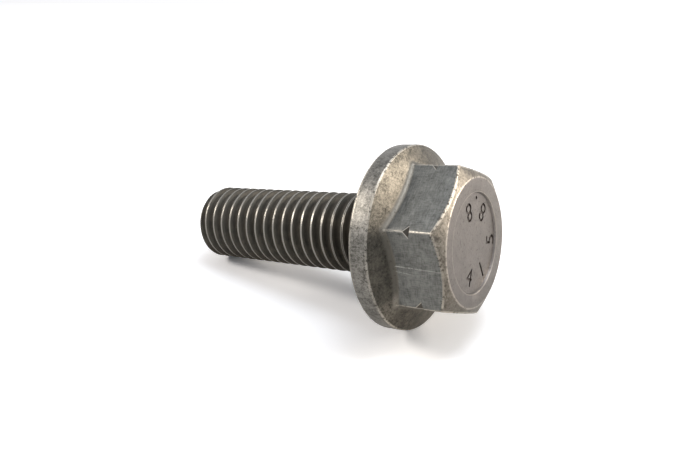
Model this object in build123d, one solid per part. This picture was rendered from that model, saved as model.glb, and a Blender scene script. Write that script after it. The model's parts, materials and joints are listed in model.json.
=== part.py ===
"""Flange bolt: an M8 hexagon bolt cold-formed in one piece with its own washer flange.

The bolt is drawn in a frame of its own, with its axis on Z. The bearing face of the flange
is z = 0, the head stands above it and the shank hangs below. The finished bolt is then
turned over, so that it stands on the top of its head, as a bolt stands without rolling.
Lengths are millimetres and angles are degrees.
"""

import math
import os

from build123d import *

# Thread: ISO metric coarse, right-handed
thread_diameter = 8.0
pitch = 1.25
flank_angle = 60.0
thread_turn = 250.0

# Shank, measured from the bearing face to the tip
shank_length = 24.3
tip_diameter = 6.9
tip_chamfer_angle = 45.0
neck_diameter = 7.19
neck_length = 2.5
runout_angle = 20.0
underhead_chamfer = 0.3

# Flange
flange_diameter = 17.6
rim_thickness = 1.9
flange_slope = 24.0
bearing_edge_chamfer = 0.25
rim_edge_chamfer = 0.15

# Hexagon, with its height measured from the bearing face
across_flats = 12.75
head_height = 7.95
top_face_diameter = 11.8
top_chamfer_angle = 30.0
corner_round = 0.25
hexagon_base_chamfer = 0.25

# Shallow recess in the top of the head
recess_diameter = 9.25
recess_depth = 0.22
recess_wall_angle = 60.0

# How far a cutting shape reaches past what it cuts
clear = 1.0

# Worked out from the sizes above
crest_radius = thread_diameter / 2
crest_width = pitch / 8
flank_run = math.tan(math.radians(flank_angle / 2))
thread_depth = 17 / 24 * pitch / 2 / flank_run
root_radius = crest_radius - thread_depth
tip_radius = tip_diameter / 2
tip_chamfer_slope = math.tan(math.radians(tip_chamfer_angle))
neck_radius = neck_diameter / 2
runout_slope = 1 / math.tan(math.radians(runout_angle))
groove_end = neck_length + (neck_radius - root_radius) * runout_slope
flange_radius = flange_diameter / 2
corner_radius = across_flats / math.sqrt(3)
recess_radius = recess_diameter / 2


def outline(*points):
    """Closed half section in the XZ plane from (radius, height) points."""
    return Plane.XZ * make_face(Polyline(*points, close=True))


def corner_at(section, radius, height):
    """The corner of a half section at a radius and a height."""
    return section.vertices().sort_by_distance(Vector(radius, 0, height))[0]


def helix_turn(radius, low):
    """One turn of the thread's helix, upward from a height."""
    return Edge.make_helix(pitch, pitch, radius, center=(0, 0, low))


def thread_profile(low):
    """Crest, flank, root and flank of one turn, as (radius, height) points."""
    half_crest = crest_width / 2
    half_base = half_crest + thread_depth * flank_run
    return [
        (crest_radius, low - half_crest),
        (crest_radius, low + half_crest),
        (root_radius, low + half_base),
        (root_radius, low + pitch - half_base),
        (crest_radius, low + pitch - half_crest),
    ]


def thread_strips(low):
    """The four helical faces of one turn, each ruled between two edges of the profile."""
    profile = thread_profile(low)
    pairs = zip(profile, profile[1:])
    return [Face.make_surface_from_curves(helix_turn(*a), helix_turn(*b)) for a, b in pairs]


def thread_end(low):
    """Faces that close the thread at a height, a spiral one and a flat one that joins it."""
    profile = thread_profile(low)
    radius, start = profile[0]
    axis_line = Edge.make_line((0, 0, start), (0, 0, start + pitch))
    spiral = Face.make_surface_from_curves(helix_turn(radius, start), axis_line)
    step = outline((0, start), *profile, (0, start + pitch))
    return [spiral, step.face()]


def endless_thread():
    """Thread and core as one solid, longer at both ends than the shank."""
    low = -shank_length - pitch
    turns = math.ceil(shank_length / pitch) + 1
    faces = thread_end(low) + thread_end(low + turns * pitch)
    for turn in range(turns):
        faces += thread_strips(low + turn * pitch)
    return Rot(Z=thread_turn) * Solid(Shell(faces))


def thread():
    """Threaded length, trimmed by the tip chamfer and by the cone of the run-out."""
    outer = crest_radius + clear
    envelope = outline(
        (0, -shank_length),
        (tip_radius, -shank_length),
        (outer, -shank_length + (outer - tip_radius) * tip_chamfer_slope),
        (outer, -neck_length - (outer - neck_radius) * runout_slope),
        (neck_radius, -neck_length),
        (0, -neck_length),
    )
    return endless_thread() & revolve(envelope, Axis.Z)


def neck():
    """Plain neck, with a cone at its end in which the thread groove runs out."""
    section = outline(
        (0, 0),
        (neck_radius, 0),
        (neck_radius, -neck_length),
        (root_radius, -groove_end),
        (0, -groove_end),
    )
    return revolve(section, Axis.Z)


def flange():
    """Washer flange with a conical top and both edges of its rim broken."""
    slope = math.tan(math.radians(flange_slope))
    section = outline(
        (0, 0),
        (flange_radius, 0),
        (flange_radius, rim_thickness),
        (0, rim_thickness + flange_radius * slope),
    )
    section = chamfer(corner_at(section, flange_radius, 0), bearing_edge_chamfer)
    section = chamfer(corner_at(section, flange_radius, rim_thickness), rim_edge_chamfer)
    return revolve(section, Axis.Z)


def hexagon():
    """Hexagon with rounded corners, its top chamfered by a cone."""
    prism = extrude(RegularPolygon(across_flats / 2, 6, major_radius=False), head_height)
    prism = fillet(prism.edges().filter_by(Axis.Z), corner_round)
    outer = corner_radius + clear
    top_radius = top_face_diameter / 2
    drop = (outer - top_radius) * math.tan(math.radians(top_chamfer_angle))
    section = outline(
        (0, 0),
        (outer, 0),
        (outer, head_height - drop),
        (top_radius, head_height),
        (0, head_height),
    )
    return prism & revolve(section, Axis.Z)


def recess():
    """Shallow round recess, with a sloping wall, that the forming punch leaves."""
    wall_run = 1 / math.tan(math.radians(recess_wall_angle))
    section = outline(
        (0, head_height - recess_depth),
        (recess_radius - recess_depth * wall_run, head_height - recess_depth),
        (recess_radius + clear * wall_run, head_height + clear),
        (0, head_height + clear),
    )
    return revolve(section, Axis.Z)


def head():
    """Flange and hexagon as one body, eased where they meet, with the recess."""
    washer = flange()
    hexagon_body = hexagon()
    joined = washer + hexagon_body
    eased = chamfer(new_edges(washer, hexagon_body, combined=joined), hexagon_base_chamfer)
    return eased - recess()


def flange_bolt():
    """The whole bolt in its own frame, with the neck flared into the bearing face."""
    bolt = head() + neck() + thread()
    bearing_circles = bolt.edges().filter_by(GeomType.CIRCLE).filter_by_position(Axis.Z, 0, 0)
    return chamfer(bearing_circles.sort_by(SortBy.RADIUS)[0], underhead_chamfer)


def stood_on_head(bolt):
    """The bolt turned over, with the top of its head on the ground."""
    return Pos(Z=head_height) * Rot(X=180) * bolt


if __name__ == "__main__":
    os.makedirs("parts", exist_ok=True)
    standing_bolt = stood_on_head(flange_bolt())
    standing_bolt.label = "flange_bolt"
    export_step(standing_bolt, "parts/flange_bolt.step")
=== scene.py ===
# %% [markdown]
# # Flange bolt
# The bolt stands on the top of its head, because lying down it would roll. It is one piece
# of steel: a hexagon head with its own washer flange, and a shank with a rolled thread. The
# solid from the CAD program fixes its size and place. This lesson builds a finer mesh of the
# same bolt, with the roundings, marks and nicks that a press, a thread roller and use leave.

# %% Tools and frame
import json
import math

import bpy
from mathutils import Euler, Matrix, Vector


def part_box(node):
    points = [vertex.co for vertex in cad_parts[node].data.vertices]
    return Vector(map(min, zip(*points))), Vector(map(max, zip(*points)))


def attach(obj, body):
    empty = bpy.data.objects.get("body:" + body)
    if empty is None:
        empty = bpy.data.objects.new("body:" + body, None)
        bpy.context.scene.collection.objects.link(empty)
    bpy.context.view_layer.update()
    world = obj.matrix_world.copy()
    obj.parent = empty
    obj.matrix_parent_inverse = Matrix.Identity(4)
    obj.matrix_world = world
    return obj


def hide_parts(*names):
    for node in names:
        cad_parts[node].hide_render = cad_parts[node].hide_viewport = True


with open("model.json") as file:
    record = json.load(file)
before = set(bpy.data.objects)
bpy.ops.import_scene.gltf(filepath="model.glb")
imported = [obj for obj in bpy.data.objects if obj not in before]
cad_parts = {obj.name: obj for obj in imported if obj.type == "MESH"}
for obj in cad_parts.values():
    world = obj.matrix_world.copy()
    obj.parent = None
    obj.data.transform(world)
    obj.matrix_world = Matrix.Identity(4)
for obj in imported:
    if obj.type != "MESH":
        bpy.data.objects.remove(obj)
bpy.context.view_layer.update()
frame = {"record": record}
MM = 0.001

# %% [markdown]
# ## Sizes
# The frame gives the sizes over all. The solid's box says how high the tip stands and how
# wide the flange is, and its mounts say where the bearing face lies and how thick the thread
# is. The other sizes are those of such a bolt. All are in millimetres, with the top of the
# head at z = 0 and the tip at the highest point, so the flange's cone faces down.

# %% Sizes
highest_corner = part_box("flange_bolt")[1]
mounts = {mount["name"]: mount for mount in frame["record"]["mounts"]}
TIP_HEIGHT = round(highest_corner[2] / MM, 3)
FLANGE_RADIUS = round(highest_corner[0] / MM, 3)
HEAD_HEIGHT = round(mounts["bearing_face"]["pos_m"][2] / MM, 3)
CREST_RADIUS = mounts["shank_thread"]["dims"]["r_mm"]
ROOT_RADIUS = 3.233
PITCH = 1.25
NECK_RADIUS = 3.595
NECK_LENGTH = 2.5
TIP_RADIUS = 3.45
RIM_THICKNESS = 1.9
FLANGE_SLOPE = math.radians(24)
ACROSS_FLATS = 12.75
TOP_FACE_RADIUS = 5.9
TOP_CHAMFER = math.radians(30)
RECESS_RADIUS = 4.625
RECESS_DEPTH = 0.22
HALF_FLATS = ACROSS_FLATS / 2
CORNER_RADIUS = ACROSS_FLATS / math.sqrt(3)
RIM_FRONT = HEAD_HEIGHT - RIM_THICKNESS
print("height over all", TIP_HEIGHT, "mm, corners", round(2 * CORNER_RADIUS, 2), "mm apart")

# %% [markdown]
# ## Helpers
# An operator acts on everything that is selected. So each step first clears the selection,
# and then picks points, edges or faces by their place, as a hand would pick them by eye.
# The Manifold solver joins and cuts closed meshes, and it is fast on a mesh of this size.

# %% Objects and modifiers
def deselect_all():
    """Leave edit mode and select nothing."""
    if bpy.context.mode != "OBJECT":
        bpy.ops.object.mode_set(mode="OBJECT")
    bpy.ops.object.select_all(action="DESELECT")


def make_active(obj):
    """Select one object and nothing else."""
    deselect_all()
    obj.select_set(True)
    bpy.context.view_layer.objects.active = obj
    return obj


def place(obj):
    """Move the object's place and turn into its mesh."""
    make_active(obj)
    bpy.ops.object.transform_apply(location=True, rotation=True, scale=True)
    return obj


def apply_modifiers(obj):
    """Apply every modifier in turn."""
    make_active(obj)
    for modifier in list(obj.modifiers):
        bpy.ops.object.modifier_apply(modifier=modifier.name)
    return obj


def boolean(obj, tool, operation):
    """Join, cut or intersect an object with a tool, which is then removed."""
    modifier = obj.modifiers.new(operation.lower(), "BOOLEAN")
    modifier.operation = operation
    modifier.solver = "MANIFOLD"
    modifier.object = tool
    apply_modifiers(obj)
    bpy.data.objects.remove(tool, do_unlink=True)
    return obj


deselect_all()
print("selected to start with:", len(bpy.context.selected_objects))

# %% Picking points, edges and faces
# How far a point may lie from the place that it is picked by
NEAR = 0.01


def edit(obj, kind, test):
    """Enter edit mode with the points, edges or faces whose points in mm pass a test."""
    make_active(obj)
    bpy.ops.object.mode_set(mode="EDIT")
    bpy.ops.mesh.select_mode(type=kind)
    bpy.ops.mesh.select_all(action="DESELECT")
    bpy.ops.object.mode_set(mode="OBJECT")
    mesh = obj.data
    places = [v.co / MM for v in mesh.vertices]
    parts = {"VERT": mesh.vertices, "EDGE": mesh.edges, "FACE": mesh.polygons}[kind]
    chosen = 0
    for part in parts:
        corners = [part.index] if kind == "VERT" else part.vertices
        part.select = test([places[i] for i in corners])
        chosen += part.select
    bpy.ops.object.mode_set(mode="EDIT")
    return chosen


def everything(points):
    """The test that every part passes."""
    return True


def radius_of(point):
    """Distance from the bolt's axis."""
    return math.hypot(point.x, point.y)


def at_height(points, height, within=NEAR):
    """True if all the points lie at one height."""
    return all(abs(p.z - height) < within for p in points)


print("parts are picked within", NEAR, "mm")

# %% [markdown]
# ## Hexagon
# The hexagon is what the spanner turns. It could be cut from a round bar, but a cylinder with
# six sides already has its shape. Its corners point along 0, 60 and 120 degrees, and they are
# a little round, because steel doesn't fill the sharp corner of a die. It reaches some way
# into the flange, so that the two join.

# %% Hexagon
SIDES = 6
SIXTH = math.tau / SIDES
CORNER_ROUND = 0.16
hexagon_height = RIM_FRONT + 0.9
bpy.ops.mesh.primitive_cylinder_add(
    vertices=SIDES,
    radius=CORNER_RADIUS * MM,
    depth=hexagon_height * MM,
    location=(0, 0, hexagon_height / 2 * MM),
    rotation=(0, 0, SIXTH / 2),
)
bolt = place(bpy.context.object)
bolt.name = "bolt"
upright = edit(bolt, "EDGE", lambda ends: abs(ends[0].z - ends[1].z) > 1)
bpy.ops.mesh.bevel(offset=CORNER_ROUND * MM, segments=4, affect="EDGES")
deselect_all()
print("rounded", upright, "upright edges")

# %% [markdown]
# ## Chamfer of the head
# The die takes the six corners off in a cone round the top face, and where that cone meets
# the flats it leaves a curved edge on each. A cut with a wide cone gives the same curves,
# which a bevel of straight edges can't.

# %% Chamfer
ROUND_STEPS = 192
cone_depth = hexagon_height + 1
bpy.ops.mesh.primitive_cone_add(
    vertices=ROUND_STEPS,
    radius1=TOP_FACE_RADIUS * MM,
    radius2=(TOP_FACE_RADIUS + cone_depth / math.tan(TOP_CHAMFER)) * MM,
    depth=cone_depth * MM,
    location=(0, 0, cone_depth / 2 * MM),
)
cone = place(bpy.context.object)
boolean(bolt, cone, "INTERSECT")
print("hexagon faces", len(bolt.data.polygons))

# %% [markdown]
# ## Flange
# The flange spreads the load as a washer would. A flat cylinder is its rim. The face towards
# the hexagon is extruded and shrunk to make the cone, which ends inside the hexagon, and both
# edges of the rim are rounded, the one at the bearing face more.

# %% Flange
SLOPE_END_RADIUS = 5.3
FRONT_EDGE_ROUND = 0.12
BACK_EDGE_ROUND = 0.3
slope_rise = (FLANGE_RADIUS - SLOPE_END_RADIUS) * math.tan(FLANGE_SLOPE)
shrink = SLOPE_END_RADIUS / FLANGE_RADIUS
bpy.ops.mesh.primitive_cylinder_add(
    vertices=ROUND_STEPS,
    radius=FLANGE_RADIUS * MM,
    depth=RIM_THICKNESS * MM,
    location=(0, 0, (RIM_FRONT + RIM_THICKNESS / 2) * MM),
)
flange = place(bpy.context.object)
edit(flange, "FACE", lambda points: at_height(points, RIM_FRONT))
bpy.ops.mesh.extrude_region_move(
    TRANSFORM_OT_translate={"value": (0, 0, -slope_rise * MM)}
)
bpy.ops.transform.resize(value=(shrink, shrink, 1))
deselect_all()
print("the cone rises", round(slope_rise, 2), "mm from the rim")

# %% Edges of the rim
def on_rim(points):
    """True if all the points lie on the outside of the flange."""
    return all(radius_of(p) > FLANGE_RADIUS - 0.1 for p in points)


for height, rounding, steps in (
    (RIM_FRONT, FRONT_EDGE_ROUND, 3),
    (HEAD_HEIGHT, BACK_EDGE_ROUND, 4),
):
    edit(flange, "EDGE", lambda ends: at_height(ends, height) and on_rim(ends))
    bpy.ops.mesh.bevel(offset=rounding * MM, segments=steps, affect="EDGES")
    deselect_all()
boolean(bolt, flange, "UNION")
print("head faces", len(bolt.data.polygons))

# %% [markdown]
# ## Blend at the foot of the hexagon
# Steel can't flow into a sharp inner corner, so the flats run into the flange in a small
# hollow curve. A bevel makes it, on the edges where the cone meets the hexagon. They are
# the only ones there that lie on the cone, so they are picked by its height.

# %% Foot blend
FOOT_BLEND = 0.4
OVERLAPPING = 0.012


def on_foot(point):
    """True on the line where the cone of the flange meets the hexagon."""
    radius = radius_of(point)
    cone_z = RIM_FRONT - (FLANGE_RADIUS - radius) * math.tan(FLANGE_SLOPE)
    near_hexagon = HALF_FLATS - 0.175 < radius < CORNER_RADIUS + 0.05
    return near_hexagon and abs(point.z - cone_z) < 0.03


edit(bolt, "VERT", everything)
bpy.ops.mesh.remove_doubles(threshold=OVERLAPPING * MM)
deselect_all()
foot_edges = edit(bolt, "EDGE", lambda ends: all(on_foot(p) for p in ends))
bpy.ops.mesh.bevel(offset=FOOT_BLEND * MM, segments=6, affect="EDGES", clamp_overlap=False)
deselect_all()
print("foot edges", foot_edges)

# %% [markdown]
# ## Recess
# The punch that upsets the head leaves a shallow round recess in its top, a little off the
# middle. Inset and extrude make it from the top face, and the floor is shrunk so that its
# wall slopes, as it has to for the punch to come out.

# %% Recess
RECESS_OFFSET = 0.1
WALL_RUN = 0.13
edit(bolt, "FACE", lambda points: at_height(points, 0, 0.001))
bpy.ops.mesh.inset(thickness=(TOP_FACE_RADIUS - RECESS_RADIUS) * MM, depth=0)
bpy.ops.transform.translate(value=(RECESS_OFFSET * MM, RECESS_OFFSET * MM, 0))
bpy.ops.mesh.extrude_region_move(
    TRANSFORM_OT_translate={"value": (0, 0, RECESS_DEPTH * MM)}
)
floor_scale = (RECESS_RADIUS - WALL_RUN) / RECESS_RADIUS
bpy.ops.transform.resize(value=(floor_scale, floor_scale, 1))
deselect_all()
print("faces with the recess", len(bolt.data.polygons))

# %% [markdown]
# ## Soft edges
# A used bolt has no sharp edge left. Those round the top face, the recess and the chamfer
# get a small bevel, which also gives each of them the thin line of light that the eye reads
# as metal. The curved edges are picked by two tests: on a flat, and on the chamfer's cone.

# %% Soft edges
EDGE_ROUND = 0.05


def outer_edge(ends):
    """True for the edges that wear: round the top face, the recess and the chamfer."""
    middle = (ends[0] + ends[1]) / 2
    radius = radius_of(middle)
    round_face = min(abs(radius - TOP_FACE_RADIUS), abs(radius - RECESS_RADIUS)) < 0.02
    chamfer_z = (radius - TOP_FACE_RADIUS) * math.tan(TOP_CHAMFER)
    angle = math.atan2(middle.y, middle.x) % SIXTH - SIXTH / 2
    on_flat = abs(radius * math.cos(angle) - HALF_FLATS) < 0.004
    on_chamfer = abs(middle.z - chamfer_z) < 0.02 and middle.z > EDGE_ROUND
    return (abs(middle.z) < 0.001 and round_face) or (on_flat and on_chamfer)


soft = edit(bolt, "EDGE", outer_edge)
bpy.ops.mesh.bevel(offset=EDGE_ROUND * MM, segments=2, affect="EDGES", clamp_overlap=True)
deselect_all()
print("soft edges", soft)

# %% [markdown]
# ## Nicks
# Each corner of the hexagon has a small nick half way up, where a jaw has bitten. It runs in
# along a ramp and ends at a steep wall. A tilted cube cuts both at once, because two of its
# faces meet in the nick's deepest line. No two nicks are alike, so each has its own depth,
# height and ramp.

# %% Nicks
# Depth and height of the deepest line in mm, and slope of the ramp in degrees, by corner
NICKS = (
    (0.33, 2.72, 25),
    (0.31, 3.02, 31),
    (0.28, 2.78, 25),
    (0.24, 2.75, 25),
    (0.30, 2.70, 25),
    (0.26, 2.73, 25),
)
CORNER_FLAT = 0.05
for corner, (depth, height, slope) in enumerate(NICKS):
    tilt = math.radians(slope)
    deepest = Vector((CORNER_RADIUS - CORNER_FLAT - depth, 0, height))
    along_wall = Vector((math.cos(tilt), 0, -math.sin(tilt)))
    along_ramp = Vector((math.sin(tilt), 0, math.cos(tilt)))
    bpy.ops.mesh.primitive_cube_add(
        size=2 * MM,
        location=(deepest + along_wall + along_ramp) * MM,
        rotation=(0, tilt, 0),
    )
    jaw = place(bpy.context.object)
    jaw.rotation_euler = (0, 0, corner * SIXTH)
    boolean(bolt, place(jaw), "DIFFERENCE")
print("nicked corners", len(NICKS), "faces", len(bolt.data.polygons))

# %% [markdown]
# ## Stamped figures
# The recess carries the strength class 8.8, which says how strong the steel is, and three
# single figures that mean nothing. A stamp presses them in, with their feet to the rim. They
# are text, which is made a mesh and closed, laid mirrored on the floor of the recess and cut
# into it.

# %% Stamped figures
FIGURE_DEPTH = 0.13
CAPITAL_SHARE = 0.7
# Figure, angle and radius of its middle, and its height
FIGURES = (
    ("8", 168.5, 3.04, 1.75),
    (".", 141, 3.2, 2.0),
    ("8", 115, 3.02, 1.75),
    ("5", 229, 3.4, 1.7),
    ("1", 286, 3.1, 1.7),
    ("4", 334, 3.1, 1.7),
)


def stamp_of(figure, tall):
    """A figure as a closed mesh, with its foot on the origin."""
    bpy.ops.object.text_add()
    text = bpy.context.object
    text.data.body = figure
    text.data.size = tall / CAPITAL_SHARE * MM
    text.data.align_x = "CENTER"
    text.data.extrude = FIGURE_DEPTH * MM
    text.data.resolution_u = 4
    bpy.ops.object.convert(target="MESH")
    stamp = bpy.context.object
    edit(stamp, "VERT", everything)
    bpy.ops.mesh.remove_doubles(threshold=0.001 * MM)
    bpy.ops.mesh.normals_make_consistent(inside=False)
    deselect_all()
    return stamp


stamps = []
for figure, degrees, radius, tall in FIGURES:
    angle = math.radians(degrees)
    away = Vector((math.cos(angle), math.sin(angle), 0))
    across = Vector((away.y, -away.x, 0))
    down = Vector((0, 0, -1))
    foot = (away * (radius + tall / 2) + Vector((0, 0, RECESS_DEPTH))) * MM
    stamp = stamp_of(figure, tall)
    turn = Matrix((across, -away, down)).transposed().to_4x4()
    stamp.matrix_world = Matrix.Translation(foot) @ turn
    stamps.append(place(stamp))
print("figures cut as meshes:", len(stamps))

# %% Cutting the figures
make_active(stamps[0])
for stamp in stamps:
    stamp.select_set(True)
bpy.ops.object.join()
boolean(bolt, stamps[0], "DIFFERENCE")
print("head faces", len(bolt.data.polygons))

# %% [markdown]
# ## Thread
# The thread is rolled: two dies press the grooves in, and the steel between them is pushed up
# into the crests. A cut groove on a helix is hard to draw, but one tooth seen from the side
# is only a line. The Screw modifier winds that line up the shank by one pitch a turn, so that
# each turn meets the next. The flanks have points half way, because the tip and the run-out
# are trimmed point by point.

# %% Profile of one tooth
# Drop below the crest and distance from the tooth's middle, over its rounded land
LAND = ((0.015, 0.0), (0.004, 0.03), (0.0, 0.06), (0.008, 0.09), (0.035, 0.13))
# Radius and distance from the middle, down the 60 degree flank and into the round root
FLANK = ((3.74, 0.262), (3.52, 0.387), (3.31, 0.505), (3.255, 0.56))
half_profile = [(CREST_RADIUS - drop, off) for drop, off in LAND]
half_profile += list(FLANK) + [(ROOT_RADIUS, PITCH / 2)]
profile = half_profile + [(r, PITCH - off) for r, off in reversed(half_profile[:-1])]
print("points on one turn's profile:", len(profile))

# %% Winding
TURN_STEPS = 96
# Height of a crest where it crosses the +X side. The others are whole turns from it
FIRST_CREST = 0.618
TURNS_TO_HEAD = 4
crest_start = FIRST_CREST + TURNS_TO_HEAD * PITCH
turns = math.ceil((TIP_HEIGHT - crest_start) / PITCH) + 1
line = bpy.data.meshes.new("thread")
line.from_pydata(
    [(r * MM, 0, (crest_start + off) * MM) for r, off in profile],
    [(i, i + 1) for i in range(len(profile) - 1)],
    [],
)
shank = bpy.data.objects.new("thread", line)
bpy.context.scene.collection.objects.link(shank)
winding = shank.modifiers.new("winding", "SCREW")
winding.axis = "Z"
winding.angle = math.tau
winding.screw_offset = PITCH * MM
winding.iterations = turns
winding.steps = TURN_STEPS
winding.render_steps = TURN_STEPS
apply_modifiers(shank)
edit(shank, "VERT", everything)
bpy.ops.mesh.remove_doubles(threshold=0.004 * MM)
deselect_all()
print("turns", turns, "points", len(shank.data.vertices))

# %% [markdown]
# ## Tip, run-out and neck
# The shank ends in a chamfered tip, which finds the hole. At the other end the grooves run
# out in a plain neck, which flares into the bearing face in a small hollow curve. All of
# these are limits on the radius at each height, so each point of the thread is moved in or
# out to stay between them. Near the neck the die leaves a broader land with a fine fold in
# it, where the steel has met from both sides, and this is drawn in the same pass.

# %% Limits on the radius
RUNOUT_SLOPE = math.tan(math.radians(20))
UNDERHEAD_ROUND = 0.4


def neck_radius_at(height):
    """Radius of the plain neck, which flares into the bearing face in a hollow curve."""
    up = max(0.0, min(height - HEAD_HEIGHT, UNDERHEAD_ROUND))
    rest = UNDERHEAD_ROUND - up
    return NECK_RADIUS + UNDERHEAD_ROUND - math.sqrt(UNDERHEAD_ROUND**2 - rest**2)


def highest_at(height):
    """Radius of the tip's chamfer or of the cone in which the crests run out."""
    above_neck = max(0.0, height - HEAD_HEIGHT - NECK_LENGTH)
    tip = TIP_RADIUS + (TIP_HEIGHT - height)
    return min(tip, neck_radius_at(height) + above_neck / RUNOUT_SLOPE)


def lowest_at(height):
    """Radius of the neck, and of the cone in which the grooves run out."""
    above_neck = max(0.0, height - HEAD_HEIGHT - NECK_LENGTH)
    return neck_radius_at(height) - above_neck * RUNOUT_SLOPE


print("neck under the head, mm:", round(neck_radius_at(HEAD_HEIGHT), 3))

# %% Fold in the crests
FOLD_DEPTH = 0.1
FOLD_HALF_WIDTH = 0.06
FOLD_LENGTH = 5.0
LAND_HALF_WIDTH = 0.115
LAND_LENGTH = 12.0
# No point is moved closer to the axis than this
CORE_RADIUS = 0.5


def with_fold(point, radius):
    """Radius with a broad land and an open fold near the neck, and sharper further along."""
    turn = math.atan2(point.y, point.x) / math.tau
    along = (point.z / MM - crest_start) / PITCH - turn
    off_crest = abs(along - round(along)) * PITCH
    if off_crest > LAND_HALF_WIDTH:
        return radius
    from_neck = point.z / MM - HEAD_HEIGHT - NECK_LENGTH
    fold = FOLD_DEPTH * max(0.0, 1 - from_neck / FOLD_LENGTH)
    fold *= max(0.0, 1 - off_crest / FOLD_HALF_WIDTH)
    broad = max(0.0, 1 - from_neck / LAND_LENGTH)
    return radius + (CREST_RADIUS - fold - radius) * broad


for v in shank.data.vertices:
    height = v.co.z / MM
    radius = radius_of(v.co) / MM
    wanted = max(with_fold(v.co, radius), lowest_at(height))
    new = min(wanted, max(highest_at(height), CORE_RADIUS))
    v.co.x *= new / radius
    v.co.y *= new / radius
shank.data.update()
radii = [radius_of(v.co) / MM for v in shank.data.vertices]
print("thread radii, mm:", round(min(radii), 3), "to", round(max(radii), 3))

# %% [markdown]
# ## Closing and joining the shank
# The winding runs past both ends. Bisect cuts it flat at the tip and a little inside the
# head, and a face over each open edge closes it. Only a closed mesh can be joined to the head.

# %% Ends of the shank
INSIDE_HEAD = 0.47
for height, direction in ((TIP_HEIGHT, 1), (HEAD_HEIGHT - INSIDE_HEAD, -1)):
    edit(shank, "FACE", everything)
    bpy.ops.mesh.bisect(
        plane_co=(0, 0, height * MM),
        plane_no=(0, 0, direction),
        use_fill=False,
        clear_outer=True,
        threshold=1e-7,
    )
    deselect_all()
    edit(shank, "EDGE", lambda ends: at_height(ends, height, 0.0005))
    bpy.ops.mesh.edge_face_add()
    deselect_all()
edit(shank, "FACE", everything)
bpy.ops.mesh.normals_make_consistent(inside=False)
deselect_all()
print("shank points", len(shank.data.vertices), "faces", len(shank.data.polygons))

# %% Joining and shading
SHARP_FROM = math.radians(32)
boolean(bolt, shank, "UNION")
make_active(bolt)
bpy.ops.object.shade_smooth_by_angle(angle=SHARP_FROM)
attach(bolt, "root")
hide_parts("flange_bolt")
print("triangles", sum(len(f.vertices) - 2 for f in bolt.data.polygons))

# %% [markdown]
# ## Steel
# The bolt is cold-formed from plain carbon steel and has no plating, so its colour is that of
# bare metal with a thin skin of oxide and drawing soap. The die leaves that skin brown and
# slightly grainy on the cone and the chamfer, the spanner rubs the flats grey, and the rolled
# thread holds dark oil between crests that are rubbed bright. One material does all of it. It
# finds each place from the distance to the axis and from the height, in millimetres.

# %% Colour and node helpers
MATH = "ShaderNodeMath"
VECTOR = "ShaderNodeVectorMath"
NOISE = "ShaderNodeTexNoise"
# A step goes from 0 to 1 between its inputs 1 and 2, or between its inputs 3 and 4
STEP = "ShaderNodeMapRange"
SMOOTH = {"interpolation_type": "SMOOTHSTEP"}
# A mix has its share in input 0, two numbers in 2 and 3, and two colours in 6 and 7
MIX = "ShaderNodeMix"
COLOURS = {"data_type": "RGBA", "out": 2}


def linear(hex_colour):
    """Linear colour from an sRGB hex string."""
    channels = [int(hex_colour[i : i + 2], 16) / 255 for i in (1, 3, 5)]
    return [c / 12.92 if c <= 0.04045 else ((c + 0.055) / 1.055) ** 2.4 for c in channels] + [1]


def add(kind, inputs=None, out=0, **settings):
    """Add a node to the tree in hand, set or link its inputs, and return one output."""
    node = tree.nodes.new(kind)
    for name, value in settings.items():
        setattr(node, name, value)
    for socket, value in (inputs or {}).items():
        if isinstance(value, bpy.types.NodeSocket):
            tree.links.new(value, node.inputs[socket])
        else:
            node.inputs[socket].default_value = value
    return node.outputs[out] if node.outputs else node


steel = bpy.data.materials.new("cold-formed carbon steel")
steel.use_nodes = True
tree = steel.node_tree
tree.nodes.clear()
print("a mid grey in linear light:", round(linear("#808080")[0], 3))

# %% [markdown]
# ## Places on the bolt
# A turned part is easiest to describe by the distance from its axis and the height. The six
# flats repeat every 60 degrees, so one flat is worked out and the rest follow: how far a
# point is along its flat, and how far out. Heights over the chamfer and the cone say on
# which side of their edges a point lies.

# %% Distances from the axis
object_place = add("ShaderNodeTexCoord", out="Object")
spot = add(VECTOR, {0: object_place, 1: (1 / MM, 1 / MM, 1 / MM)}, operation="MULTIPLY")
flat_spot = add(VECTOR, {0: spot, 1: (1, 1, 0)}, operation="MULTIPLY")
rho = add(VECTOR, {0: flat_spot}, out="Value", operation="LENGTH")
x_mm, y_mm, z_mm = add("ShaderNodeSeparateXYZ", {0: spot}).node.outputs
rho_and_z = add("ShaderNodeCombineXYZ", {0: rho, 1: z_mm})
theta = add(MATH, {0: y_mm, 1: x_mm}, operation="ARCTAN2")
print("nodes so far:", len(tree.nodes))

# %% Distances on a flat, the chamfer and the cone
sixths = add(MATH, {0: theta, 1: 1 / SIXTH}, operation="MULTIPLY")
sixth = add(MATH, {0: sixths}, operation="FRACT")
from_middle = add(MATH, {0: sixth, 1: 0.5}, operation="SUBTRACT")
flat_angle = add(MATH, {0: from_middle, 1: SIXTH}, operation="MULTIPLY")
sine = add(MATH, {0: flat_angle}, operation="SINE")
cosine = add(MATH, {0: flat_angle}, operation="COSINE")
along_flat = add(MATH, {0: rho, 1: sine}, operation="MULTIPLY")
out_of_flat = add(MATH, {0: rho, 1: cosine}, operation="MULTIPLY")
off_middle = add(MATH, {0: along_flat}, operation="ABSOLUTE")
to_corner = add(MATH, {0: CORNER_RADIUS / 2, 1: off_middle}, operation="SUBTRACT")
chamfer_rise = math.tan(TOP_CHAMFER)
chamfer_base = -TOP_FACE_RADIUS * chamfer_rise
chamfer_z = add(MATH, {0: rho, 1: chamfer_rise, 2: chamfer_base}, operation="MULTIPLY_ADD")
above_chamfer = add(MATH, {0: z_mm, 1: chamfer_z}, operation="SUBTRACT")
cone_rise = math.tan(FLANGE_SLOPE)
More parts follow.
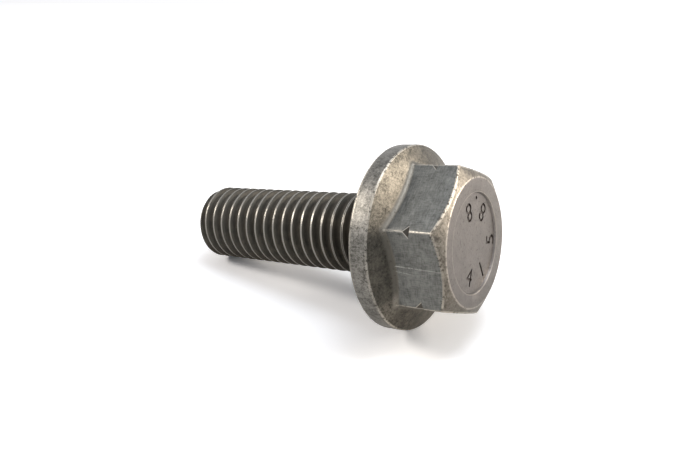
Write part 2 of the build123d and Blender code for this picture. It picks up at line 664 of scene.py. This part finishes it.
cone_base = RIM_FRONT - FLANGE_RADIUS * cone_rise
cone_z = add(MATH, {0: rho, 1: cone_rise, 2: cone_base}, operation="MULTIPLY_ADD")
below_cone = add(MATH, {0: cone_z, 1: z_mm}, operation="SUBTRACT")
print("nodes so far:", len(tree.nodes))

# %% [markdown]
# ## Patterns in the surface
# All the patterns are noise, scaled in real millimetres. Pits are about 0.3 mm wide, and
# patches of dirt and rubbing about 1 mm. The skin that a die leaves has grains of about
# 0.05 mm, which is too fine to show, so they are drawn coarser, about 0.2 mm wide. The
# marks that spanners leave on the flats lie both along the bolt and round it, so they are
# two noises, each stretched one way.

# %% Patterns
# Grains, pits and patches in each millimetre
GRAIN = 4.6
PITS = 3.2
PATCHES = 0.9
# Marks in each millimetre along X, Y and Z. Real ones are under 0.05 mm wide, which is too
# fine to show, so these are drawn about 0.1 mm wide
LINES = (9.6, 9.6, 1.6)
BANDS = (1.54, 1.54, 8.4)
grain = add(NOISE, {0: spot, "Scale": GRAIN, "Detail": 5.0, "Roughness": 0.8})
pits = add(NOISE, {0: spot, "Scale": PITS, "Detail": 3.0, "Roughness": 0.8})
patches = add(NOISE, {0: spot, "Scale": PATCHES, "Detail": 6.0, "Roughness": 0.65})
along_bolt = add(VECTOR, {0: spot, 1: LINES}, operation="MULTIPLY")
lines = add(NOISE, {0: along_bolt, "Scale": 1.0, "Detail": 5.0, "Roughness": 0.7})
round_bolt = add(VECTOR, {0: spot, 1: BANDS}, operation="MULTIPLY")
bands = add(NOISE, {0: round_bolt, "Scale": 1.0, "Detail": 4.0, "Roughness": 0.7})
grain_step = add(STEP, {0: grain, 1: 0.37, 2: 0.63})
patch_step = add(STEP, {0: patches, 1: 0.35, 2: 0.65}, **SMOOTH)
skin_step = add(MIX, {0: 0.35, 2: grain_step, 3: patch_step})
unpitted = add(STEP, {0: pits, 1: 0.63, 2: 0.50}, **SMOOTH)
print("a grain is drawn", round(1 / GRAIN, 2), "mm wide, a pit", round(1 / PITS, 2), "mm")

# %% [markdown]
# ## Regions
# A region is a number that is 1 inside a part of the surface and 0 outside it, with a soft
# step between. The two limits of each step are the places in millimetres where it starts
# and ends, and a narrow region is the product of several steps.

# %% Regions of the head and shank
on_shank = add(STEP, {0: z_mm, 1: HEAD_HEIGHT + 0.1, 2: HEAD_HEIGHT + 0.5}, **SMOOTH)
on_head = add(MATH, {0: 1.0, 1: on_shank}, operation="SUBTRACT")
before_rim = add(STEP, {0: z_mm, 1: RIM_FRONT + 0.1, 2: RIM_FRONT}, **SMOOTH)
# The chamfer's skin gives way to the cone's half way up the flats, which cover the change
on_cone = add(STEP, {0: z_mm, 1: 3.2, 2: 3.8}, **SMOOTH)
rim = add(STEP, {0: rho, 1: FLANGE_RADIUS - 0.18, 2: FLANGE_RADIUS - 0.05}, **SMOOTH)
in_top = add(STEP, {0: rho, 1: TOP_FACE_RADIUS + 0.03, 2: TOP_FACE_RADIUS - 0.03}, **SMOOTH)
on_top = add(STEP, {0: z_mm, 1: 0.5, 2: 0.4}, **SMOOTH)
top = add(MATH, {0: on_top, 1: in_top}, operation="MULTIPLY")
print("nodes so far:", len(tree.nodes))

# %% Regions of the flats
out_of_hexagon = add(STEP, {0: out_of_flat, 1: HALF_FLATS + 0.03, 2: HALF_FLATS + 0.12}, **SMOOTH)
under_chamfer = add(STEP, {0: above_chamfer, 1: 0.0, 2: 0.1}, **SMOOTH)
before_cone = add(STEP, {0: below_cone, 1: 0.15, 2: 0.45}, **SMOOTH)
# Keeps out the middle of the top face, which also lies on the far side of the chamfer
away_from_axis = add(STEP, {0: out_of_flat, 1: 6.0, 2: 6.2}, **SMOOTH)
flat_side = add(MATH, {0: 1.0, 1: out_of_hexagon}, operation="SUBTRACT")
for limit in (under_chamfer, away_from_axis, before_rim):
    flat_side = add(MATH, {0: flat_side, 1: limit}, operation="MULTIPLY")
flat = add(MATH, {0: flat_side, 1: before_cone}, operation="MULTIPLY")
off_flat = add(MATH, {0: 1.0, 1: flat}, operation="SUBTRACT")
# 1 on the flat between the corners at 0 and 60 degrees, which carries the scratches
first_flat = add(MATH, {0: sixths, 1: 0.5}, operation="SUBTRACT")
first_flat = add(MATH, {0: first_flat}, operation="ABSOLUTE")
first_flat = add(MATH, {0: first_flat, 1: 0.5}, operation="LESS_THAN")
print("nodes so far:", len(tree.nodes))

# %% [markdown]
# ## Colours of the steel
# Bare steel is a light grey, and everything darker is skin or dirt. Each part mixes a dark
# and a light tone by its own pattern: brown grains on the skin, a weave of fine marks on the
# flats, patches in the thread. The roots hold a little more dried soap than the flanks.

# %% Skin of the cone and the chamfer
chamfer_tones = {6: linear("#46423d"), 7: linear("#89837a")}
cone_tones = {6: linear("#2b2a27"), 7: linear("#837d73")}
chamfer_skin = add(MIX, {0: skin_step, **chamfer_tones}, **COLOURS)
cone_skin = add(MIX, {0: skin_step, **cone_tones}, **COLOURS)
skin = add(MIX, {0: on_cone, 6: chamfer_skin, 7: cone_skin}, **COLOURS)
print("nodes so far:", len(tree.nodes))

# %% Flats, top face and rim
weave = add(MATH, {0: lines, 1: bands}, operation="ADD")
weave = add(MATH, {0: weave, 1: patches}, operation="ADD")
weave_step = add(STEP, {0: weave, 1: 1.1, 2: 1.9})
rim_step = add(MIX, {0: 0.5, 2: skin_step, 3: lines})
rim_step = add(STEP, {0: rim_step, 1: 0.32, 2: 0.66})
flat_tones = {6: linear("#4b4c4b"), 7: linear("#7f807e")}
top_tones = {6: linear("#6a6664"), 7: linear("#7f7a77")}
rim_tones = {6: linear("#4f4e4b"), 7: linear("#868480")}
flat_grey = add(MIX, {0: weave_step, **flat_tones}, **COLOURS)
top_grey = add(MIX, {0: skin_step, **top_tones}, **COLOURS)
rim_grey = add(MIX, {0: rim_step, **rim_tones}, **COLOURS)
print("nodes so far:", len(tree.nodes))

# %% Thread
groove_step = add(MIX, {0: 0.5, 2: patch_step, 3: bands})
flank_tones = {6: linear("#403f3c"), 7: linear("#55514b")}
root_tones = {6: linear("#5c5a55"), 7: linear("#7a746b")}
flank = add(MIX, {0: groove_step, **flank_tones}, **COLOURS)
root = add(MIX, {0: groove_step, **root_tones}, **COLOURS)
in_root = add(STEP, {0: rho, 1: 3.7, 2: 3.3}, **SMOOTH)
groove = add(MIX, {0: in_root, 6: flank, 7: root}, **COLOURS)
crest = add(STEP, {0: rho, 1: CREST_RADIUS - 0.024, 2: CREST_RADIUS - 0.004}, **SMOOTH)
thread_colour = add(MIX, {0: crest, 6: groove, 7: linear("#8e8b86")}, **COLOURS)
rubbed_crest = add(MATH, {0: crest, 1: on_shank}, operation="MULTIPLY")
print("nodes so far:", len(tree.nodes))

# %% [markdown]
# ## Foot of the hexagon and painted shade
# The hollow at the foot is out of the spanner's reach, so it keeps an even, pale skin. Painted
# shade darkens one side of the cone, the foot too, for the shadow that the hexagon casts there.

# %% Foot and painted shade
PAINTED_SHADE_MIDDLE = math.radians(33)
PAINTED_SHADE_ENDS = math.radians(29)
PAINTED_SHADE_FULL = math.radians(21)
PAINTED_SHADE_STRENGTH = 0.6
foot = add(STEP, {0: out_of_flat, 1: HALF_FLATS + 0.5, 2: HALF_FLATS + 0.15}, **SMOOTH)
for limit in (off_flat, on_cone, before_rim):
    foot = add(MATH, {0: foot, 1: limit}, operation="MULTIPLY")
# Painted shade: a dark sector on one side of the cone and the foot, for the hexagon's shadow
from_painted_shade = add(MATH, {0: theta, 1: PAINTED_SHADE_MIDDLE}, operation="SUBTRACT")
from_painted_shade = add(MATH, {0: from_painted_shade}, operation="ABSOLUTE")
painted_shade = add(STEP, {0: from_painted_shade, 1: PAINTED_SHADE_ENDS, 2: PAINTED_SHADE_FULL}, **SMOOTH)
for limit in (on_cone, before_rim, off_flat, PAINTED_SHADE_STRENGTH):
    painted_shade = add(MATH, {0: painted_shade, 1: limit}, operation="MULTIPLY")
print("oil spans", round(math.degrees(2 * PAINTED_SHADE_ENDS)), "degrees of the cone")

# %% [markdown]
# ## Worn edges
# Where the bolt is knocked and rubbed, the skin is gone and the steel shines: along the
# corners, the edges of the flats and both edges of the rim. Each line is a narrow step in
# the distance to its edge. It is broken where the pits are deep, and weaker in the sector of
# the head that carries the painted shade.

# %% Corners and edges of the flats
near_corner = add(STEP, {0: to_corner, 1: 0.16, 2: 0.05}, **SMOOTH)
corner_wear = add(MATH, {0: near_corner, 1: flat_side}, operation="MULTIPLY")
from_chamfer = add(MATH, {0: above_chamfer}, operation="ABSOLUTE")
from_flat = add(MATH, {0: out_of_flat, 1: HALF_FLATS}, operation="SUBTRACT")
near_chamfer = add(STEP, {0: from_chamfer, 1: 0.14, 2: 0.04}, **SMOOTH)
near_flat = add(STEP, {0: from_flat, 1: -0.22, 2: -0.06}, **SMOOTH)
chamfer_wear = add(MATH, {0: near_chamfer, 1: near_flat}, operation="MULTIPLY")
print("nodes so far:", len(tree.nodes))

# %% Edges of the rim and all the wear
WORN_STEEL = linear("#b3ada3")
front_edge = (FLANGE_RADIUS, RIM_FRONT, 0)
back_edge = (FLANGE_RADIUS, HEAD_HEIGHT - BACK_EDGE_ROUND / 2, 0)
from_front = add(VECTOR, {0: rho_and_z, 1: front_edge}, out="Value", operation="DISTANCE")
from_back = add(VECTOR, {0: rho_and_z, 1: back_edge}, out="Value", operation="DISTANCE")
front_wear = add(STEP, {0: from_front, 1: 0.17, 2: 0.06}, **SMOOTH)
back_wear = add(STEP, {0: from_back, 1: 0.2, 2: 0.1}, **SMOOTH)
wear = corner_wear
for edge_wear in (chamfer_wear, front_wear, back_wear):
    wear = add(MATH, {0: wear, 1: edge_wear}, operation="MAXIMUM")
# Wear is weaker in the sector of the head that carries the painted shade
outside_painted_shade = add(STEP, {0: from_painted_shade, 1: math.radians(22), 2: math.radians(36), 3: 0.3})
for limit in (on_head, unpitted, outside_painted_shade):
    wear = add(MATH, {0: wear, 1: limit}, operation="MULTIPLY")
print("nodes so far:", len(tree.nodes))

# %% [markdown]
# ## Pits
# Dark specks are pits where the skin has lifted. They lie all over the head, fewer on the
# rubbed flats, and they crowd together just beside the worn edges.

# %% Pits
PIT_STRENGTH = 0.65
PIT_STRENGTH_ON_FLATS = 0.3
EDGE_PIT_STRENGTH = 0.6
pit_strength = add(MIX, {0: flat, 2: PIT_STRENGTH, 3: PIT_STRENGTH_ON_FLATS})
speck = add(STEP, {0: pits, 1: 0.57, 2: 0.67}, **SMOOTH)
for limit in (on_head, pit_strength):
    speck = add(MATH, {0: speck, 1: limit}, operation="MULTIPLY")
beside_rim = add(STEP, {0: from_front, 1: 0.5, 2: 0.2}, **SMOOTH)
beside_chamfer = add(STEP, {0: from_chamfer, 1: 0.35, 2: 0.15}, **SMOOTH)
beside_flat = add(STEP, {0: from_flat, 1: -0.5, 2: -0.1}, **SMOOTH)
beside_chamfer = add(MATH, {0: beside_chamfer, 1: beside_flat}, operation="MULTIPLY")
beside_edge = add(MATH, {0: beside_rim, 1: beside_chamfer}, operation="MAXIMUM")
edge_speck = add(STEP, {0: pits, 1: 0.54, 2: 0.60}, **SMOOTH)
for limit in (beside_edge, on_head, EDGE_PIT_STRENGTH):
    edge_speck = add(MATH, {0: edge_speck, 1: limit}, operation="MULTIPLY")
speck = add(MATH, {0: speck, 1: edge_speck}, operation="MAXIMUM")
print("nodes so far:", len(tree.nodes))

# %% [markdown]
# ## Nicks, painted edge highlights, scratches and figures
# A nick gets painted shade inside, and a painted highlight along its lip. The edges of the
# top face and the recess get a fine painted highlight. One long scratch and one short one
# cross a flat, and the stamped figures are darker than the face.

# %% Nicks, with painted shade inside and a painted highlight on the lip
in_nick = add(STEP, {0: out_of_flat, 1: HALF_FLATS - 0.02, 2: HALF_FLATS - 0.05}, **SMOOTH)
by_corner = add(STEP, {0: rho, 1: 6.3, 2: 6.5}, **SMOOTH)
over_low_end = add(STEP, {0: z_mm, 1: 2.2, 2: 2.4}, **SMOOTH)
under_high_end = add(STEP, {0: z_mm, 1: 4.4, 2: 4.2}, **SMOOTH)
nick = in_nick
for limit in (by_corner, over_low_end, under_high_end):
    nick = add(MATH, {0: nick, 1: limit}, operation="MULTIPLY")
# Painted shade where the nick is deep, and a painted highlight where it is shallow by the lip
lip_highlight = add(STEP, {0: out_of_flat, 1: HALF_FLATS - 0.09, 2: HALF_FLATS - 0.05}, **SMOOTH)
nick_shade_and_highlight = add(MIX, {0: lip_highlight, 6: linear("#4a4743"), 7: linear("#b4afa6")}, **COLOURS)
print("nodes so far:", len(tree.nodes))

# %% Painted highlights round the top face and the recess
top_edge_highlight = add(MATH, {0: rho, 1: TOP_FACE_RADIUS}, operation="SUBTRACT")
top_edge_highlight = add(MATH, {0: top_edge_highlight}, operation="ABSOLUTE")
top_edge_highlight = add(STEP, {0: top_edge_highlight, 1: 0.12, 2: 0.03}, **SMOOTH)
for limit in (on_top, unpitted, 0.85):
    top_edge_highlight = add(MATH, {0: top_edge_highlight, 1: limit}, operation="MULTIPLY")
recess_centre = (RECESS_OFFSET, RECESS_OFFSET, 0)
from_centre = add(VECTOR, {0: flat_spot, 1: recess_centre}, out="Value", operation="DISTANCE")
recess_edge_highlight = add(MATH, {0: from_centre, 1: RECESS_RADIUS}, operation="SUBTRACT")
recess_edge_highlight = add(MATH, {0: recess_edge_highlight}, operation="ABSOLUTE")
recess_edge_highlight = add(STEP, {0: recess_edge_highlight, 1: 0.07, 2: 0.02}, **SMOOTH)
by_face = add(STEP, {0: z_mm, 1: 0.1, 2: 0.06}, **SMOOTH)
for limit in (by_face, 0.6):
    recess_edge_highlight = add(MATH, {0: recess_edge_highlight, 1: limit}, operation="MULTIPLY")
print("nodes so far:", len(tree.nodes))

# %% Scratches
# Each scratch is a straight line on the flat, with its slant and its place at the top face.
# It fades between two heights, to the strengths after them.
SCRATCHES = (
    (0.03, 0.17, 0.08, (1.5, 4.2, 0.4, 1.0)),
    (0.12, -0.75, 0.07, (2.8, 3.6, 0.0, 0.6)),
)
scratch = 0.0
for slant, start, half_width, (low, high, at_low, at_high) in SCRATCHES:
    middle = add(MATH, {0: z_mm, 1: slant, 2: start}, operation="MULTIPLY_ADD")
    gap = add(MATH, {0: along_flat, 1: middle}, operation="SUBTRACT")
    gap = add(MATH, {0: gap}, operation="ABSOLUTE")
    one = add(STEP, {0: gap, 1: half_width, 2: 0.03}, **SMOOTH)
    fading = add(STEP, {0: z_mm, 1: low, 2: high, 3: at_low, 4: at_high})
    one = add(MATH, {0: one, 1: fading}, operation="MULTIPLY")
    scratch = add(MATH, {0: scratch, 1: one}, operation="MAXIMUM")
for limit in (first_flat, flat, unpitted, 0.6):
    scratch = add(MATH, {0: scratch, 1: limit}, operation="MULTIPLY")
print("scratches", len(SCRATCHES))

# %% Darker figures
in_mark = add(STEP, {0: z_mm, 1: RECESS_DEPTH + 0.02, 2: RECESS_DEPTH + 0.08}, **SMOOTH)
in_recess = add(STEP, {0: rho, 1: RECESS_RADIUS - 0.025, 2: RECESS_RADIUS - 0.125}, **SMOOTH)
mark = in_mark
for limit in (in_recess, on_head, 0.7):
    mark = add(MATH, {0: mark, 1: limit}, operation="MULTIPLY")
print("nodes so far:", len(tree.nodes))

# %% [markdown]
# ## Layers of colour
# The regions are painted one over another from the oldest to the newest: first what the press
# and the roller left, with painted shade on one side of the cone, then wear, pits, nicks with
# their painted shade and highlight, painted highlights on the edges of the top face and
# recess, scratches and the darker figures.

# %% Layers
colour = skin
for region, paint in (
    (flat, flat_grey),
    (foot, linear("#75716a")),
    # Painted shade on one side of the cone
    (painted_shade, linear("#2c2d2b")),
    (top, top_grey),
    (rim, rim_grey),
    (on_shank, thread_colour),
    (wear, WORN_STEEL),
    (speck, linear("#3a3733")),
    # Painted shade and highlight in the nicks
    (nick, nick_shade_and_highlight),
    # Painted highlights on the edges of the top face and the recess
    (top_edge_highlight, linear("#a9a29a")),
    (recess_edge_highlight, linear("#a9a29a")),
    (scratch, linear("#b4b4b0")),
    # The stamped figures are darker than the face
    (mark, linear("#4a433f")),
):
    colour = add(MIX, {0: region, 6: colour, 7: paint}, **COLOURS)
print("nodes so far:", len(tree.nodes))

# %% [markdown]
# ## Surface of the steel
# It is all bare metal, so metallic is 1 and the colour does the rest. The skin is rougher
# where its grains stand up, the oily thread is fairly rough, and what is rubbed is smoother.
# The grains and pits also stand 0.02 mm high as bump, since meshes of them would be huge.

# %% Surface
BUMP_HEIGHT = 0.02
SMOOTH_GRAIN = 0.32
ROUGH_GRAIN = 0.46
THREAD_ROUGHNESS = 0.42
RUBBED_ROUGHNESS = 0.28
rough = add(STEP, {0: grain, 1: 0.3, 2: 0.7, 3: SMOOTH_GRAIN, 4: ROUGH_GRAIN})
rough = add(MIX, {0: on_shank, 2: rough, 3: THREAD_ROUGHNESS})
for rubbed in (rubbed_crest, wear):
    rough = add(MIX, {0: rubbed, 2: rough, 3: RUBBED_ROUGHNESS})
relief = add(MATH, {0: grain, 1: pits}, operation="ADD")
bump = add("ShaderNodeBump", {"Height": relief, "Distance": BUMP_HEIGHT * MM, "Strength": 1.0})
surface = add(
    "ShaderNodeBsdfPrincipled",
    {"Base Color": colour, "Metallic": 1.0, "Roughness": rough, "Normal": bump},
)
add("ShaderNodeOutputMaterial", {"Surface": surface})
bolt.data.materials.clear()
bolt.data.materials.append(steel)
print("steel nodes", len(tree.nodes))

# %% [markdown]
# ## Camera
# A bolt is best seen as it lies on a bench, on its rim and its last thread. It can't be laid
# down here, so the camera is turned instead, by the turn that would lay the bolt down. It is
# first placed over the lying bolt, in millimetres from the middle of the bearing face, and
# then takes that turn with it.

# %% Camera
LYING_TURN = math.radians(121.39)
LYING_TILT = math.radians(11.544)
CAMERA_PLACE = Vector((26.8019, -48.9714, 29.1418))
CAMERA_LOOKS_DOWN = math.radians(27.3929)
CAMERA_TURN = math.radians(33.6596)
LENS = 33.495


def lying_pose(tilt):
    """Turn from the lying bolt's frame, in which Z is up, to the standing bolt's."""
    on_side = Matrix.Rotation(math.pi / 2 + tilt, 4, "Y")
    return Matrix.Rotation(LYING_TURN, 4, "Z") @ on_side


bearing = Matrix.Translation((0, 0, HEAD_HEIGHT * MM)) @ lying_pose(LYING_TILT)
camera_data = bpy.data.cameras.new("camera")
camera_data.lens = LENS
camera_data.sensor_width = 36
camera_data.clip_start = 1 * MM
camera = bpy.data.objects.new("camera", camera_data)
bpy.context.scene.collection.objects.link(camera)
bpy.context.scene.camera = camera
camera_turn = Euler((math.pi / 2 - CAMERA_LOOKS_DOWN, 0, CAMERA_TURN)).to_matrix().to_4x4()
camera.matrix_world = bearing @ Matrix.Translation(CAMERA_PLACE * MM) @ camera_turn
print("camera, mm:", [round(c / MM, 1) for c in camera.matrix_world.translation])

# %% [markdown]
# ## Floors
# There are two floors, one under the standing bolt and one that the lying bolt would touch.
# Both would shade each other and the bolt if they were plain sheets. So each is clear from
# behind, to shadow rays and to scattered light, and the one under the standing bolt is there
# for the camera only. A floor is shown whiter than it is, so that it runs into the white
# room without an edge, and still keeps the bolt's shadow.

# %% Where the lying bolt touches its floor
# The bolt rests on the rounding of its rim and on its last full crest. A line that touches
# both gives the floor's tilt and its distance from the middle of the top face.
rest_radius = FLANGE_RADIUS - BACK_EDGE_ROUND
rest_height = HEAD_HEIGHT - BACK_EDGE_ROUND
last_crest = TIP_HEIGHT - (CREST_RADIUS - TIP_RADIUS)
run = last_crest - rest_height
drop = rest_radius - CREST_RADIUS
floor_tilt = math.atan2(drop, run) + math.asin(BACK_EDGE_ROUND / math.hypot(run, drop))
floor_depth = (
    rest_radius * math.cos(floor_tilt) + rest_height * math.sin(floor_tilt) + BACK_EDGE_ROUND
)
print("floor tilt", round(math.degrees(floor_tilt), 2), "depth", round(floor_depth, 3), "mm")

# %% Floors
FLOOR_GREY = (0.85, 0.85, 0.85, 1)
lying_place = lying_pose(floor_tilt) @ Matrix.Translation((0, 0, -floor_depth * MM))
for name, size, shown, camera_only, floor_place in (
    ("lying floor", 600, (1.18, 1.21, 1.28, 1), False, lying_place),
    ("standing floor", 320, (1.8, 1.8, 1.8, 1), True, Matrix()),
):
    material = bpy.data.materials.new("white paint, " + name)
    material.use_nodes = True
    tree = material.node_tree
    tree.nodes.clear()
    ray = add("ShaderNodeLightPath").node.outputs
    seen = ray["Is Camera Ray"]
    hidden = add("ShaderNodeNewGeometry", out="Backfacing")
    for unwanted in (ray["Is Shadow Ray"], ray["Is Diffuse Ray"]):
        hidden = add(MATH, {0: hidden, 1: unwanted}, operation="MAXIMUM")
    if camera_only:
        unseen = add(MATH, {0: 1.0, 1: seen}, operation="SUBTRACT")
        hidden = add(MATH, {0: hidden, 1: unseen}, operation="MAXIMUM")
    pale = add(MIX, {0: seen, 6: FLOOR_GREY, 7: shown}, **COLOURS)
    white = add("ShaderNodeBsdfDiffuse", {"Color": pale})
    clear = add("ShaderNodeBsdfTransparent")
    shader = add("ShaderNodeMixShader", {0: hidden, 1: white, 2: clear})
    add("ShaderNodeOutputMaterial", {"Surface": shader})
    bpy.ops.mesh.primitive_plane_add(size=size * MM)
    floor = bpy.context.object
    floor.name = name
    floor.matrix_world = floor_place
    floor.data.materials.append(material)
    print(name, size, "mm wide, nodes", len(tree.nodes))

# %% [markdown]
# ## Lights
# Two soft boxes light the lying bolt, one warm from each side, and draw a long highlight on
# the thread's crests and on the edges. A cooler lamp overhead fills the flats. All three are
# placed by angles round the lying bolt, so they turn with its camera.

# %% Lights
LAMP_DISTANCE = 300


def soft_lamp(name, azimuth, elevation, size, power, colour):
    """Flat lamp that faces the bolt, placed by angles in degrees over the lying floor."""
    data = bpy.data.lights.new(name, "AREA")
    data.shape = "RECTANGLE"
    data.size = size[0] * MM
    data.size_y = size[1] * MM
    data.energy = power
    data.color = colour
    lamp = bpy.data.objects.new(name, data)
    bpy.context.scene.collection.objects.link(lamp)
    side, up = math.radians(azimuth), math.radians(elevation)
    away = Vector(
        (math.cos(side) * math.cos(up), math.sin(side) * math.cos(up), math.sin(up))
    )
    turn = away.to_track_quat("Z", "Y").to_matrix().to_4x4()
    lamp.matrix_world = bearing @ Matrix.Translation(away * LAMP_DISTANCE * MM) @ turn
    return lamp


lamps = [
    soft_lamp("front softbox", -151, 32, (90, 90), 0.54, (1.0, 0.92, 0.82)),
    soft_lamp("back softbox", 36, 24, (160, 110), 0.84, (1.0, 0.91, 0.79)),
    soft_lamp("top light", 60, 80, (140, 140), 0.32, (0.92, 0.96, 1.0)),
]
print("lamp powers, W:", [round(lamp.data.energy, 2) for lamp in lamps])

# %% [markdown]
# ## White room
# The room is white to the eye and in the steel's reflections. It lights the floor and the
# bolt less than that, so that the lamps still give them shape and shadow.

# %% World
ROOM_LIGHT = 0.4
world = bpy.data.worlds.new("white room")
bpy.context.scene.world = world
world.use_nodes = True
tree = world.node_tree
tree.nodes.clear()
ray = add("ShaderNodeLightPath").node.outputs
direct = ray["Is Camera Ray"]
for mirrored in (ray["Is Transmission Ray"], ray["Is Glossy Ray"]):
    direct = add(MATH, {0: direct, 1: mirrored}, operation="MAXIMUM")
strength = add(MIX, {0: direct, 2: ROOM_LIGHT, 3: 1.0})
background = add("ShaderNodeBackground", {"Color": (1, 1, 1, 1), "Strength": strength})
add("ShaderNodeOutputWorld", {"Surface": background})
bpy.context.scene.view_settings.view_transform = "Standard"
print("room light", ROOM_LIGHT)
